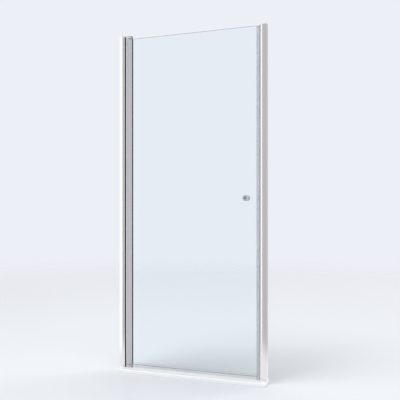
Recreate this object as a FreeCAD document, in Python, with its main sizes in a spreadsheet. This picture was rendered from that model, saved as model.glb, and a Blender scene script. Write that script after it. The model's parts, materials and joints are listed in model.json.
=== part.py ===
import FreeCAD, Part
import math
import os
import re

import Sketcher
from FreeCAD import Placement, Rotation, Vector

# Pivot shower door for a niche. Millimetres, +X from the hinge wall to the strike wall, +Y into the
# shower, +Z up. The origin is under the middle of the sill, in the plane of the closed glass.

# Driving dimensions. Each is written once, and everything else is worked out from them.
SIZES = {
    # niche and sill
    "opening_width": 880,  # from wall to wall
    "sill_height": 21,
    "sill_front": 60,  # sill's front edge, ahead of the glass
    "sill_rear": 40,  # sill's rear edge, behind the glass
    "sill_front_radius": 6,
    "sill_rear_radius": 3,
    # the two wall channels
    "channel_length": 1929,
    "channel_width": 33,
    "channel_depth": 32,  # over the crowned flanges
    "channel_crown": 1.5,
    "channel_wall": 2,
    "channel_web": 2,
    "wall_hole_radius": 2.6,
    "wall_hole_end": 110,  # from each end of the channel to its outer holes
    "wall_hole_pair": 570,  # between its two inner holes
    # posts that slide into the channels
    "post_back_gap": 6,  # room for the heads of the wall screws
    "post_clearance": 0.2,
    "post_wall": 1.8,
    "post_screw_radius": 2,
    "post_screw_length": 10,
    "post_screw_end": 220,  # from each end of the channel to its outer screws
    "post_screw_count": 3,
    "screw_clearance": 0.2,
    "pan_head_radius": 3.9,
    "pan_head_height": 2.6,
    "recess_reach": 2.1,  # cross recess in a screw's head
    "recess_width": 0.9,
    "recess_depth": 1.4,
    "screw_cap_height": 4,
    "screw_cap_wall": 0.9,
    "screw_cap_clearance": 0.3,
    # lips beside the stile's barrel
    "hinge_gap": 1,  # between the barrel and the hollow in the post
    "lip_depth": 2.8,
    "lip_root": 0.9,
    "lip_clearance": 0.3,
    # pivots
    "pivot_from_wall": 50,
    "running_gap": 1,  # between the leaf and each bracket
    "bracket_height": 15,
    "bracket_edge_radius": 1.2,
    "neck_width": 18,
    "tongue_length": 25,
    "tongue_clearance": 0.2,
    "bracket_screw_radius": 1.8,
    "bracket_screw_length": 12,
    "bracket_screw_spacing": 11,
    "bracket_screw_drop": 12.5,
    "bracket_head_radius": 3,
    "bracket_head_height": 2.2,
    "pin_radius": 4,
    "pin_seat": 12,
    "pin_reach": 12,  # below the bracket's seat
    "pin_chamfer": 0.8,
    "bush_clearance": 0.05,
    "bush_wall": 2,
    "bush_length": 14,
    "bush_flange_radius": 10,
    "thrust_clearance": 0.1,
    # stile: a round barrel about the pivot, and a narrower clamp for the glass
    "stile_depth": 32,  # the barrel's diameter
    "stile_reach": 27,  # from the pivot to the stile's glass side
    "stile_wall": 1.8,
    "stile_corner": 1.5,
    "clamp_width": 16,
    "slot_bottom_gap": 1,
    "plug_plate": 2,
    "plug_length": 40,
    "plug_clearance": 0.2,
    "plug_screw_radius": 2,
    "plug_screw_length": 12,
    "plug_screw_first": 22,  # from the end of the leaf
    "plug_screw_spacing": 11,
    # glass
    "glass_thickness": 6,
    "glass_bite": 16,
    "glass_corner": 6,
    "glass_arris": 0.6,
    "glazing_thickness": 1.5,
    "glazing_lip": 0.8,
    "glazing_overlap": 0.9,
    # magnetic closure
    "strike_reach": 38,  # from the strike wall to the face of the post
    "magnet_proud": 0.5,
    "magnet_gap": 0.5,
    "magnet_width": 10,
    "magnet_thickness": 3,
    "magnet_cover": 1,
    "carrier_depth": 5,
    "carrier_clearance": 0.2,
    "stem_width": 2.8,
    "stem_length": 2.5,
    "barb_width": 5.6,
    "barb_length": 2.5,
    "seal_nose": 9,  # from the glass edge to the seal's face
    "seal_grip": 12,
    "seal_leg": 1.2,
    "seal_clearance": 0.1,
    "seal_web_gap": 0.3,
    "seal_head_width": 14,
    "seal_head_depth": 5.5,
    "seal_floor_gap": 1,
    # sweep under the glass
    "sweep_grip": 12,
    "sweep_end_gap": 0.5,
    "sweep_floor_gap": 0.5,
    "fin_width": 1.2,
    "drip_reach": 5,
    "drip_fall": 4,
    "drip_thickness": 1.4,
    # caps on the channels
    "cap_wall": 2,
    "cap_clearance": 0.2,
    "cap_lug_length": 8,
    "cap_lug_clearance": 0.3,
    "strike_cap_height": 1.5,
    # knob
    "knob_backset": 70,  # from the glass edge
    "knob_height": 1010,  # above the floor
    "knob_hole_radius": 6,
    "knob_radius": 16.5,
    "knob_edge_radius": 3,
    "knob_base_radius": 10,
    "knob_base_height": 2,
    "knob_neck_radius": 7.5,
    "knob_neck_height": 7,
    "knob_flare": 7,
    "knob_head_height": 8,
    "dish_radius": 6.5,
    "dish_depth": 1.5,
    "knob_washer_radius": 10.5,
    "knob_washer_height": 1,
    "stud_radius": 4,
    "stud_bite": 13,
    "stud_end_gap": 1,
    "sleeve_clearance": 0.1,
    "grub_radius": 2,
    "grub_recess": 0.3,
}

# Places and sizes that follow from the driving dimensions.
LAYOUT = {
    # heights and places of the whole door
    "bracket_seat_low": "sill_height + bracket_height",
    "channel_top": "sill_height + channel_length",
    "leaf_bottom": "bracket_seat_low + running_gap",
    "leaf_top": "channel_top - running_gap",
    "leaf_height": "leaf_top - leaf_bottom",
    "hinge_wall": "-opening_width / 2",
    "strike_wall": "opening_width / 2",
    "pivot_place": "hinge_wall + pivot_from_wall",
    # channels and posts, across the door
    "flange_edge": "channel_depth / 2 - channel_crown",
    "channel_inner": "flange_edge - channel_wall",
    "crown_radius": "((channel_width / 2)^2 + channel_crown^2) / (2 * channel_crown)",
    "crown_centre": "crown_radius - channel_depth / 2",
    "crown_inner": "sqrt((channel_width / 2)^2 + (crown_centre + channel_inner)^2)",
    "web_inner": "sqrt(crown_inner^2 - (channel_width / 2 - channel_web)^2) - crown_centre",
    "post_half": "channel_inner - post_clearance",
    "post_start": "channel_web + post_back_gap",
    "post_inner": "post_half - post_wall",
    "post_length": "channel_top - bracket_seat_low",
    "post_screw_run": "channel_length - 2 * post_screw_end",
    # barrel, hollow and lips
    "barrel_radius": "stile_depth / 2",
    "hollow_radius": "barrel_radius + hinge_gap",
    "lip_radius": "barrel_radius + lip_clearance",
    "lip_inner": "post_half - lip_depth",
    "horn_place": "pivot_from_wall - sqrt(hollow_radius^2 - lip_inner^2)",
    "lip_seat": "horn_place - lip_root",
    "lip_front": "pivot_from_wall - sqrt(lip_radius^2 - post_half^2)",
    "lip_back": "pivot_from_wall - sqrt(lip_radius^2 - lip_inner^2)",
    "post_hollow_end": "pivot_from_wall - hollow_radius - post_wall",
    # brackets
    "neck_half": "neck_width / 2",
    "root_end": "channel_width - cap_wall - cap_clearance",
    "root_height": "bracket_height - cap_wall - cap_clearance",
    "head_end": "pivot_from_wall + sqrt(stile_reach^2 - barrel_radius^2)",
    "tongue_start": "post_start + post_wall + tongue_clearance",
    "tongue_end": "post_hollow_end - tongue_clearance",
    "tongue_half": "post_inner - tongue_clearance",
    "bush_bore": "pin_radius + bush_clearance",
    "bush_radius": "bush_bore + bush_wall",
    # stile, measured from the pivot
    "clamp_half": "clamp_width / 2",
    "clamp_root": "sqrt(barrel_radius^2 - clamp_half^2)",
    "slot_half": "glass_thickness / 2 + glazing_thickness",
    "slot_end": "stile_reach - glass_bite - slot_bottom_gap",
    "chamber_radius": "barrel_radius - stile_wall",
    "chamber_end": "slot_end - stile_wall",
    "plate_slot": "glass_thickness / 2 + plug_clearance",
    "insert_radius": "chamber_radius - plug_clearance",
    "insert_end": "chamber_end - plug_clearance",
    "stile_length": "leaf_height - 2 * plug_plate",
    # magnetic closure
    "carrier_face": "strike_reach + magnet_proud",
    "carrier_back": "carrier_face - carrier_depth",
    "stem_end": "carrier_back - stem_length",
    "barb_end": "stem_end - barb_length",
    "seal_half": "seal_head_width / 2",
    "grip_inner": "glass_thickness / 2 + seal_clearance",
    "grip_outer": "grip_inner + seal_leg",
    "seal_web": "seal_web_gap + seal_leg",
    "glass_right": "strike_wall - carrier_face - magnet_gap - seal_nose",
    "glass_left": "pivot_place + stile_reach - glass_bite",
    "glass_width": "glass_right - glass_left",
    "seal_bottom": "sill_height + seal_floor_gap",
    # sweep
    "sweep_start": "pivot_place + stile_reach + glazing_lip + sweep_end_gap",
    "sweep_end": "glass_right - seal_grip - sweep_end_gap",
    "fin_drop": "leaf_bottom - sill_height - sweep_floor_gap",
    # knob, measured out from the glass
    "knob_place": "glass_right - knob_backset",
    "neck_start": "knob_washer_height + knob_base_height",
    "flare_start": "neck_start + knob_neck_height",
    "flare_end": "flare_start + knob_flare",
    "knob_face": "flare_end + knob_head_height",
    "dish_floor": "knob_face - dish_depth",
    "dish_sphere": "(dish_radius^2 + dish_depth^2) / (2 * dish_depth)",
    "stud_end": "knob_washer_height + stud_bite",
    "stud_half": "glass_thickness / 2 + stud_end - stud_end_gap",
    "grub_place": "neck_start + knob_neck_height / 2",
    "screw_cap_inner": "pan_head_radius + screw_cap_clearance",
    "screw_cap_radius": "screw_cap_inner + screw_cap_wall",
}

LYING_BACK = Rotation(Vector(1, 0, 0), -90)  # a piece's own +Z points into the shower
LYING_OUT = Rotation(Vector(1, 0, 0), 90)  # a piece's own +Z points out of the shower
LYING_LEFT = Rotation(Vector(0, 1, 0), -90)  # a piece's own +Z points to the hinge wall
UPSIDE_DOWN = Rotation(Vector(1, 0, 0), 180)
HALF_TURN = Rotation(Vector(0, 0, 1), 180)
HINGE_SIDE = ("hinge_wall", 1)  # the wall's place, and which way a piece's own +Y looks
STRIKE_SIDE = ("strike_wall", -1)

document = FreeCAD.newDocument("pivot_shower_door")
sheet = document.addObject("Spreadsheet::Sheet", "Sizes")
layout = document.addObject("Spreadsheet::Sheet", "Layout")
worked = document.addObject("Spreadsheet::Sheet", "Worked")
known = {}
nodes = []


def fill_sheets():
    """Writes the plain numbers to one sheet and the formulas that follow from them to the other."""
    for row, (name, size) in enumerate(SIZES.items(), start=1):
        sheet.set(f"A{row}", name)
        sheet.set(f"B{row}", str(size))
        sheet.setAlias(f"B{row}", name)
    for row, (name, formula) in enumerate(LAYOUT.items(), start=1):
        layout.set(f"A{row}", name)
        layout.set(f"B{row}", "=" + re.sub(r"[a-z][a-z_]+", lead_size, formula))
        layout.setAlias(f"B{row}", name)
    document.recompute()


def lead_size(match):
    word = match.group(0)
    return f"Sizes.{word}" if word in SIZES else word


def lead_any(match):
    word = lead_size(match)
    return f"Layout.{word}" if word in LAYOUT else word


def linked(formula):
    """A formula with each name led by the sheet that holds it."""
    return re.sub(r"[a-z][a-z_]+", lead_any, formula)


def value(formula):
    """The number that a formula gives now. Each new formula gets a cell of its own in a third sheet."""
    if formula not in known:
        cell = f"A{len(known) + 1}"
        worked.set(cell, "=" + linked(formula))
        worked.recompute()
        known[formula] = float(worked.get(cell))
    return known[formula]


def new_body(label, place=("0", "0", "0"), turn=Rotation()):
    """An empty body that will become one node, with its place tied to the sheets."""
    body = document.addObject("PartDesign::Body", label)
    body.Label = label
    body.Placement = Placement(Vector(*[value(formula) for formula in place]), turn)
    for axis, formula in zip("xyz", place):
        body.setExpression(f"Placement.Base.{axis}", linked(formula))
    nodes.append(body)
    return body


def new_sketch(body, plane, offset="0"):
    sketch = body.newObject("Sketcher::SketchObject", f"{body.Name}_sketch")
    support = [side for side in body.Origin.OriginFeatures if side.Role == plane][0]
    sketch.AttachmentSupport = [(support, "")]
    sketch.MapMode = "FlatFace"
    sketch.setExpression("AttachmentOffset.Base.z", linked(offset))
    return sketch


def tie(sketch, kind, formula, geometry, point):
    """Ties one coordinate of a sketch point to a formula, measured from the sketch's origin."""
    index = sketch.addConstraint(Sketcher.Constraint(kind, -1, 1, geometry, point, value(formula)))
    sketch.setExpression(f"Constraints[{index}]", linked(formula))


def tie_point(sketch, geometry, point, across, along):
    tie(sketch, "DistanceX", across, geometry, point)
    tie(sketch, "DistanceY", along, geometry, point)


def draw_line(sketch, start, end):
    return sketch.addGeometry(Part.LineSegment(start, end)), 1, 2


def draw_arc(sketch, start, end, centre_across, centre_along, way):
    """An arc from start to end, ccw or cw round a centre. Returns it with its first and last point."""
    centre = Vector(value(centre_across), value(centre_along), 0)
    first, last = (start, end) if way == "ccw" else (end, start)
    first_angle = math.atan2(first.y - centre.y, first.x - centre.x)
    last_angle = math.atan2(last.y - centre.y, last.x - centre.x)
    if last_angle <= first_angle:
        last_angle += 2 * math.pi
    circle = Part.Circle(centre, Vector(0, 0, 1), (start - centre).Length)
    index = sketch.addGeometry(Part.ArcOfCircle(circle, first_angle, last_angle))
    chord = end - start
    if abs(chord.y) >= abs(chord.x):
        tie(sketch, "DistanceX", centre_across, index, 3)
    else:
        tie(sketch, "DistanceY", centre_along, index, 3)
    return (index, 1, 2) if way == "ccw" else (index, 2, 1)


def draw_loop(sketch, corners):
    """A closed outline of (across, along) corners. An arc leaves one that also gives a centre and a way."""
    spots = [Vector(value(corner[0]), value(corner[1]), 0) for corner in corners]
    edges = []
    for index, corner in enumerate(corners):
        start, end = spots[index], spots[(index + 1) % len(spots)]
        if len(corner) == 2:
            edges.append(draw_line(sketch, start, end))
        else:
            edges.append(draw_arc(sketch, start, end, *corner[2:]))
    for index, corner in enumerate(corners):
        edge, first, _ = edges[index]
        before, _, last = edges[index - 1]
        sketch.addConstraint(Sketcher.Constraint("Coincident", before, last, edge, first))
        tie_point(sketch, edge, first, corner[0], corner[1])


def draw_box(sketch, left, right, low, high):
    draw_loop(sketch, [(left, low), (right, low), (right, high), (left, high)])


def draw_circle(sketch, across, along, radius):
    centre = Vector(value(across), value(along), 0)
    index = sketch.addGeometry(Part.Circle(centre, Vector(0, 0, 1), value(radius)))
    tie_point(sketch, index, 3, across, along)
    constraint = sketch.addConstraint(Sketcher.Constraint("Radius", index, value(radius)))
    sketch.setExpression(f"Constraints[{constraint}]", linked(radius))


def pad(body, sketch, length, back=False, both=False):
    feature = body.newObject("PartDesign::Pad", f"{body.Name}_pad")
    feature.Profile = sketch
    feature.SideType = "Symmetric" if both else "One side"
    feature.Reversed = back
    feature.setExpression("Length", linked(length))
    document.recompute()
    return feature


def pocket(body, sketch, length, back=False, both=False):
    """Cuts a sketch out of the body, and stops the build if nothing came away."""
    before = body.Shape.Volume
    feature = body.newObject("PartDesign::Pocket", f"{body.Name}_pocket")
    feature.Profile = sketch
    feature.SideType = "Symmetric" if both else "One side"
    feature.Reversed = back
    feature.setExpression("Length", linked(length))
    document.recompute()
    if body.Shape.Volume > before - 1e-3:
        raise ValueError(f"a pocket in {body.Label} cuts nothing")
    return feature


def revolve(body, corners):
    """Turns an outline of (radius, height) corners about the body's own Z axis."""
    sketch = new_sketch(body, "XZ_Plane")
    draw_loop(sketch, corners)
    feature = body.newObject("PartDesign::Revolution", f"{body.Name}_turned")
    feature.Profile = sketch
    feature.ReferenceAxis = (sketch, ["V_Axis"])
    feature.Angle = 360
    document.recompute()
    return feature


def repeat(body, features, axis, run, count, back=False):
    """Repeats features along one of the body's axes. Separate copies stay separate solids."""
    pattern = body.newObject("PartDesign::LinearPattern", f"{body.Name}_row")
    pattern.Originals = features
    direction = [line for line in body.Origin.OriginFeatures if line.Role == axis][0]
    pattern.Direction = (direction, [""])
    pattern.Reversed = back
    pattern.setExpression("Length", linked(run))
    pattern.setExpression("Occurrences", linked(count))
    body.Tip = pattern
    document.recompute()
    return pattern


def edges_at(shape, height):
    """Names of a shape's edges that lie wholly at one height."""
    names = []
    for index, edge in enumerate(shape.Edges, start=1):
        box = edge.BoundBox
        if abs(box.ZMin - height) < 1e-4 and abs(box.ZMax - height) < 1e-4:
            names.append(f"Edge{index}")
    return names


def faces_across(shape, axis):
    """Names of a shape's flat faces that look straight along an axis, either way."""
    names = []
    for index, face in enumerate(shape.Faces, start=1):
        flat = isinstance(face.Surface, Part.Plane)
        if flat and abs(abs(face.normalAt(0, 0).dot(axis)) - 1) < 1e-6:
            names.append(f"Face{index}")
    return names


def extrusion(label, place, turn, loops, length):
    """A straight profile along Z from one or more closed outlines."""
    body = new_body(label, place, turn)
    sketch = new_sketch(body, "XY_Plane")
    for corners in loops:
        draw_loop(sketch, corners)
    pad(body, sketch, length)
    return body


def box_corners(left, right, low, high):
    return [(left, low), (right, low), (right, high), (left, high)]


# Sill


def make_sill():
    body = new_body("sill", ("hinge_wall", "0", "0"))
    sketch = new_sketch(body, "YZ_Plane")
    front_centre = ("sill_front_radius - sill_front", "sill_height - sill_front_radius")
    rear_centre = ("sill_rear - sill_rear_radius", "sill_height - sill_rear_radius")
    draw_loop(
        sketch,
        [
            ("-sill_front", "0"),
            ("-sill_front", front_centre[1], *front_centre, "cw"),
            (front_centre[0], "sill_height"),
            (rear_centre[0], "sill_height", *rear_centre, "cw"),
            ("sill_rear", rear_centre[1]),
            ("sill_rear", "0"),
        ],
    )
    pad(body, sketch, "opening_width")


# Wall channels. Their own +X points away from the wall that they are screwed to.


def side_turn(side):
    return Rotation() if side is HINGE_SIDE else HALF_TURN


def crowned_front():
    """The front flange's outer corner, where the crown starts."""
    return ("0", "-flange_edge", "channel_width / 2", "crown_centre", "ccw")


def crowned_rear():
    return ("channel_width", "flange_edge", "channel_width / 2", "-crown_centre", "ccw")


def post_screw_heights():
    """Heights of the screws that join channel and post, above the foot of the channel."""
    count = int(value("post_screw_count"))
    return [f"post_screw_end + post_screw_run * {index} / (post_screw_count - 1)" for index in range(count)]


def make_wall_channel(label, side):
    wall, rear = side
    corners = [
        crowned_front(),
        ("channel_width", "-flange_edge"),
        ("channel_width", "-channel_inner", "channel_width / 2", "crown_centre", "cw"),
        ("channel_web", "-web_inner"),
        ("channel_web", "web_inner", "channel_width / 2", "-crown_centre", "cw"),
        ("channel_width", "channel_inner"),
        crowned_rear(),
        ("0", "flange_edge"),
    ]
    body = extrusion(label, (wall, "0", "sill_height"), side_turn(side), [corners], "channel_length")
    wall_holes = new_sketch(body, "YZ_Plane")
    for height in (
        "wall_hole_end",
        "(channel_length - wall_hole_pair) / 2",
        "(channel_length + wall_hole_pair) / 2",
        "channel_length - wall_hole_end",
    ):
        draw_circle(wall_holes, "0", height, "wall_hole_radius")
    pocket(body, wall_holes, "2 * channel_web", back=True)
    flange_holes = new_sketch(body, "XZ_Plane")
    for height in post_screw_heights():
        draw_circle(flange_holes, "channel_width / 2", height, "post_screw_radius + screw_clearance")
    pocket(body, flange_holes, "channel_depth", back=rear < 0)


def cap_outline(reach):
    """The channel's outline closed on its open side, at the given distance from the wall."""
    return [
        crowned_front(),
        ("channel_width", "-flange_edge"),
        *reach,
        crowned_rear(),
        ("0", "flange_edge"),
    ]


def add_cap_lug(body):
    """A lug that hangs from a cap into the gap between the channel's web and the post."""
    sketch = new_sketch(body, "XY_Plane")
    left, right = "channel_web + cap_lug_clearance", "post_start - cap_lug_clearance"
    half = "(channel_inner - cap_lug_clearance)"
    draw_box(sketch, left, right, f"-{half}", half)
    pad(body, sketch, "cap_lug_length", back=True)


def make_hinge_channel_cap():
    body = extrusion(
        "hinge_channel_cap",
        ("hinge_wall", "0", "channel_top"),
        Rotation(),
        [cap_outline([])],
        "bracket_height",
    )
    cavity = new_sketch(body, "XY_Plane")
    inner_end = "channel_width - cap_wall"
    mouth = "(neck_half + cap_clearance)"
    draw_loop(
        cavity,
        [
            ("cap_wall", "-channel_inner"),
            (inner_end, "-channel_inner"),
            (inner_end, f"-{mouth}"),
            ("channel_width + cap_wall", f"-{mouth}"),
            ("channel_width + cap_wall", mouth),
            (inner_end, mouth),
            (inner_end, "channel_inner"),
            ("cap_wall", "channel_inner"),
        ],
    )
    pocket(body, cavity, "bracket_height - cap_wall", back=True)
    add_cap_lug(body)
    # the lug hangs from the cap's own wall, so a bar joins them across the cavity
    bar = new_sketch(body, "XY_Plane")
    draw_box(
        bar,
        "cap_wall / 2",
        "post_start - cap_lug_clearance",
        "-channel_inner - cap_wall / 2",
        "channel_inner + cap_wall / 2",
    )
    pad(body, bar, "cap_wall")


def make_strike_channel_cap():
    step = [
        ("channel_width", "-post_half"),
        ("strike_reach", "-post_half"),
        ("strike_reach", "post_half"),
        ("channel_width", "post_half"),
    ]
    body = extrusion(
        "strike_channel_cap",
        ("strike_wall", "0", "channel_top"),
        HALF_TURN,
        [cap_outline(step)],
        "strike_cap_height",
    )
    add_cap_lug(body)


# Posts


def add_post_holes(body, base, rear):
    """Holes in a post's rear wall for the screws through the channel, counted from the channel's foot."""
    sketch = new_sketch(body, "XZ_Plane")
    for height in post_screw_heights():
        draw_circle(sketch, "channel_width / 2", f"{height} - ({base})", "post_screw_radius")
    pocket(body, sketch, "channel_depth", back=rear < 0)


def make_hinge_post():
    outline = [
        ("post_start", "-post_half"),
        ("lip_seat", "-post_half"),
        ("lip_seat", "-lip_inner"),
        ("horn_place", "-lip_inner", "pivot_from_wall", "0", "cw"),
        ("horn_place", "lip_inner"),
        ("lip_seat", "lip_inner"),
        ("lip_seat", "post_half"),
        ("post_start", "post_half"),
    ]
    hollow = box_corners("post_start + post_wall", "post_hollow_end", "-post_inner", "post_inner")
    place = ("hinge_wall", "0", "bracket_seat_low")
    body = extrusion("hinge_post", place, Rotation(), [outline, hollow], "post_length")
    add_post_holes(body, "bracket_height", 1)
    back_holes = new_sketch(body, "YZ_Plane")
    for height in ("bracket_screw_drop", "post_length - bracket_screw_drop"):
        for half in ("-bracket_screw_spacing / 2", "bracket_screw_spacing / 2"):
            draw_circle(back_holes, half, height, "bracket_screw_radius + screw_clearance")
    pocket(body, back_holes, "post_start + post_wall + tongue_clearance", back=True)


def make_lip_gasket(label, side):
    """One dark lip in the post's horn. Its face follows the barrel at a small clearance."""
    outer, inner = ("-post_half", "-lip_inner") if side < 0 else ("post_half", "lip_inner")
    way = "cw" if side < 0 else "ccw"
    corners = [
        ("lip_seat", outer),
        ("lip_front", outer, "pivot_from_wall", "0", way),
        ("lip_back", inner),
        ("lip_seat", inner),
    ]
    extrusion(label, ("hinge_wall", "0", "bracket_seat_low"), Rotation(), [corners], "post_length")


def make_strike_post():
    stem = "(stem_width / 2 + carrier_clearance)"
    barb = "(barb_width / 2 + carrier_clearance)"
    recess = "(seal_half + carrier_clearance)"
    barb_floor = "barb_end - carrier_clearance"
    barb_top = "stem_end + carrier_clearance"
    half_outline = [
        ("post_start", "post_half"),
        ("strike_reach", "post_half"),
        ("strike_reach", recess),
        ("carrier_back", recess),
        ("carrier_back", stem),
        (barb_top, stem),
        (barb_top, barb),
        (barb_floor, barb),
    ]
    front_half = [(across, f"-({along})") for across, along in half_outline]
    outline = front_half + list(reversed(half_outline))
    hollow = box_corners("post_start + post_wall", f"{barb_floor} - post_wall", "-post_inner", "post_inner")
    side_left, side_right = barb_floor, "carrier_back - post_wall"
    rear_cell = box_corners(side_left, side_right, f"{barb} + post_wall", "post_inner")
    front_cell = box_corners(side_left, side_right, "-post_inner", f"-({barb} + post_wall)")
    loops = [outline, hollow, rear_cell, front_cell]
    place = ("strike_wall", "0", "sill_height")
    body = extrusion("strike_post", place, HALF_TURN, loops, "channel_length")
    add_post_holes(body, "0", -1)


# Screws and their caps. A screw's own +Z points out of its head.


def make_screws(label, place, turn, radius, length, row, recessed=True):
    """A row of pan-head screws, one solid each."""
    head_radius, head_height = row["head"]
    body = new_body(label, place, turn)
    edge = f"{head_height} / 2"
    turned = revolve(
        body,
        [
            ("0", f"-({length})"),
            (f"{radius} * 0.6", f"-({length})"),
            (radius, f"-({length}) + {radius} * 0.8"),
            (radius, "0"),
            (head_radius, "0"),
            (head_radius, edge),
            (f"{head_radius} * 0.72", head_height),
            ("0", head_height),
        ],
    )
    features = [turned]
    if recessed:
        cross = new_sketch(body, "XY_Plane", head_height)
        reach, half = "recess_reach", "recess_width / 2"
        draw_loop(
            cross,
            [
                (f"-({half})", f"-{reach}"),
                (half, f"-{reach}"),
                (half, f"-({half})"),
                (reach, f"-({half})"),
                (reach, half),
                (half, half),
                (half, reach),
                (f"-({half})", reach),
                (f"-({half})", half),
                (f"-{reach}", half),
                (f"-{reach}", f"-({half})"),
                (f"-({half})", f"-({half})"),
            ],
        )
        features.append(pocket(body, cross, "recess_depth"))
    repeat(body, features, row["axis"], row["run"], row["count"], row.get("back", False))


def make_post_screws(label, side):
    """The screws through the channel's rear flange into the post, which lie along Y."""
    middle = f"{side[0]} + channel_width / 2 * {side[1]}"
    place = (middle, "channel_depth / 2", "sill_height + post_screw_end")
    row = {
        "head": ("pan_head_radius", "pan_head_height"),
        "axis": "Y_Axis",
        "run": "post_screw_run",
        "count": "post_screw_count",
        "back": True,
    }
    make_screws(label, place, LYING_BACK, "post_screw_radius", "post_screw_length", row)


def make_screw_caps(label, side):
    """Domed covers that snap over the heads of the post screws."""
    middle = f"{side[0]} + channel_width / 2 * {side[1]}"
    body = new_body(label, (middle, "channel_depth / 2", "sill_height + post_screw_end"), LYING_BACK)
    inner_height = "(pan_head_height + screw_cap_clearance)"
    turned = revolve(
        body,
        [
            ("screw_cap_inner", "0"),
            ("screw_cap_radius", "0"),
            ("screw_cap_radius", "screw_cap_height / 2"),
            ("screw_cap_radius * 0.7", "screw_cap_height"),
            ("0", "screw_cap_height"),
            ("0", inner_height),
            ("screw_cap_inner", inner_height),
        ],
    )
    repeat(body, [turned], "Y_Axis", "post_screw_run", "post_screw_count", True)


def make_bracket_screws(label, height, way):
    """Two screws through the post's back wall into the bracket's tongue, which lie along X."""
    seat = f"{height} + bracket_screw_drop * {way}"
    place = ("hinge_wall + post_start", "-bracket_screw_spacing / 2", seat)
    row = {
        "head": ("bracket_head_radius", "bracket_head_height"),
        "axis": "Y_Axis",
        "run": "bracket_screw_spacing",
        "count": "2",
    }
    radius, length = "bracket_screw_radius", "bracket_screw_length"
    make_screws(label, place, LYING_LEFT, radius, length, row, recessed=False)


def make_plug_screws(label, height):
    """Two screws through the stile's rear wall into an end plug."""
    place = ("pivot_place", "barrel_radius", height)
    row = {
        "head": ("pan_head_radius", "pan_head_height"),
        "axis": "Y_Axis",
        "run": "plug_screw_spacing",
        "count": "2",
        "back": True,
    }
    make_screws(label, place, LYING_BACK, "plug_screw_radius", "plug_screw_length", row)


# Pivots. Their own origin is on the bracket's seat, and +Z points away from the leaf.


def pivot_places():
    return {
        "top": ("channel_top", Rotation()),
        "bottom": ("bracket_seat_low", UPSIDE_DOWN),
    }


def make_bracket(end):
    height, turn = pivot_places()[end]
    body = new_body(f"{end}_pivot_bracket", ("hinge_wall", "0", height), turn)
    head = new_sketch(body, "XY_Plane")
    draw_loop(
        head,
        [
            ("pivot_from_wall", "-barrel_radius"),
            ("head_end", "-barrel_radius", "pivot_from_wall", "0", "ccw"),
            ("head_end", "barrel_radius"),
            ("pivot_from_wall", "barrel_radius", "pivot_from_wall", "0", "ccw"),
        ],
    )
    block = pad(body, head, "bracket_height")
    rounding = body.newObject("PartDesign::Fillet", f"{body.Name}_rounding")
    rounding.Base = (block, edges_at(block.Shape, value("bracket_height")))
    rounding.setExpression("Radius", linked("bracket_edge_radius"))
    document.recompute()
    root = new_sketch(body, "XY_Plane")
    draw_loop(
        root,
        [
            ("post_start", "-post_half"),
            ("root_end", "-post_half"),
            ("root_end", "-neck_half"),
            ("pivot_from_wall", "-neck_half"),
            ("pivot_from_wall", "neck_half"),
            ("root_end", "neck_half"),
            ("root_end", "post_half"),
            ("post_start", "post_half"),
        ],
    )
    pad(body, root, "root_height")
    tongue = new_sketch(body, "XY_Plane")
    draw_box(tongue, "tongue_start", "tongue_end", "-tongue_half", "tongue_half")
    pad(body, tongue, "tongue_length", back=True)
    bore = new_sketch(body, "XY_Plane")
    draw_circle(bore, "pivot_from_wall", "0", "pin_radius")
    pocket(body, bore, "pin_seat", back=True)
    holes = new_sketch(body, "YZ_Plane")
    for half in ("-bracket_screw_spacing / 2", "bracket_screw_spacing / 2"):
        draw_circle(holes, half, "-bracket_screw_drop", "bracket_screw_radius")
    pocket(body, holes, "post_start + bracket_screw_length", back=True)


def make_pin(end):
    height, turn = pivot_places()[end]
    body = new_body(f"{end}_pivot_pin", ("pivot_place", "0", height), turn)
    revolve(
        body,
        [
            ("0", "-pin_reach"),
            ("pin_radius - pin_chamfer", "-pin_reach"),
            ("pin_radius", "pin_chamfer - pin_reach"),
            ("pin_radius", "pin_seat - pin_chamfer"),
            ("pin_radius - pin_chamfer", "pin_seat"),
            ("0", "pin_seat"),
        ],
    )


def make_bush(end):
    height, turn = pivot_places()[end]
    body = new_body(f"{end}_pivot_bush", ("pivot_place", "0", height), turn)
    foot = "-(running_gap + bush_length)"
    revolve(
        body,
        [
            ("bush_bore", foot),
            ("bush_radius", foot),
            ("bush_radius", "-running_gap"),
            ("bush_flange_radius", "-running_gap"),
            ("bush_flange_radius", "-thrust_clearance"),
            ("bush_bore", "-thrust_clearance"),
        ],
    )


# Stile. Its section is drawn about the pivot.


def stile_outline(slot):
    """The barrel and the clamp, with a glass slot that is open by the given half width."""
    corner = "(stile_reach - stile_corner)"
    shoulder = "(clamp_half - stile_corner)"
    return [
        ("clamp_root", "-clamp_half"),
        (corner, "-clamp_half", corner, f"-{shoulder}", "ccw"),
        ("stile_reach", f"-{shoulder}"),
        ("stile_reach", f"-{slot}"),
        ("slot_end", f"-{slot}"),
        ("slot_end", slot),
        ("stile_reach", slot),
        ("stile_reach", shoulder, corner, shoulder, "ccw"),
        (corner, "clamp_half"),
        ("clamp_root", "clamp_half", "0", "0", "ccw"),
    ]


def barrel_loop(radius, end):
    """A circle about the pivot, cut off straight on the glass side."""
    side = f"sqrt({radius}^2 - {end}^2)"
    return [(end, f"-{side}"), (end, side, "0", "0", "ccw")]


def make_stile():
    loops = [stile_outline("slot_half"), barrel_loop("chamber_radius", "chamber_end")]
    place = ("pivot_place", "0", "leaf_bottom + plug_plate")
    body = extrusion("pivot_stile", place, Rotation(), loops, "stile_length")
    holes = new_sketch(body, "XZ_Plane")
    first = "plug_screw_first - plug_plate"
    for height in (first, f"{first} + plug_screw_spacing"):
        radius = "plug_screw_radius + screw_clearance"
        draw_circle(holes, "0", height, radius)
        draw_circle(holes, "0", f"stile_length - ({height})", radius)
    pocket(body, holes, "stile_depth")


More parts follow.
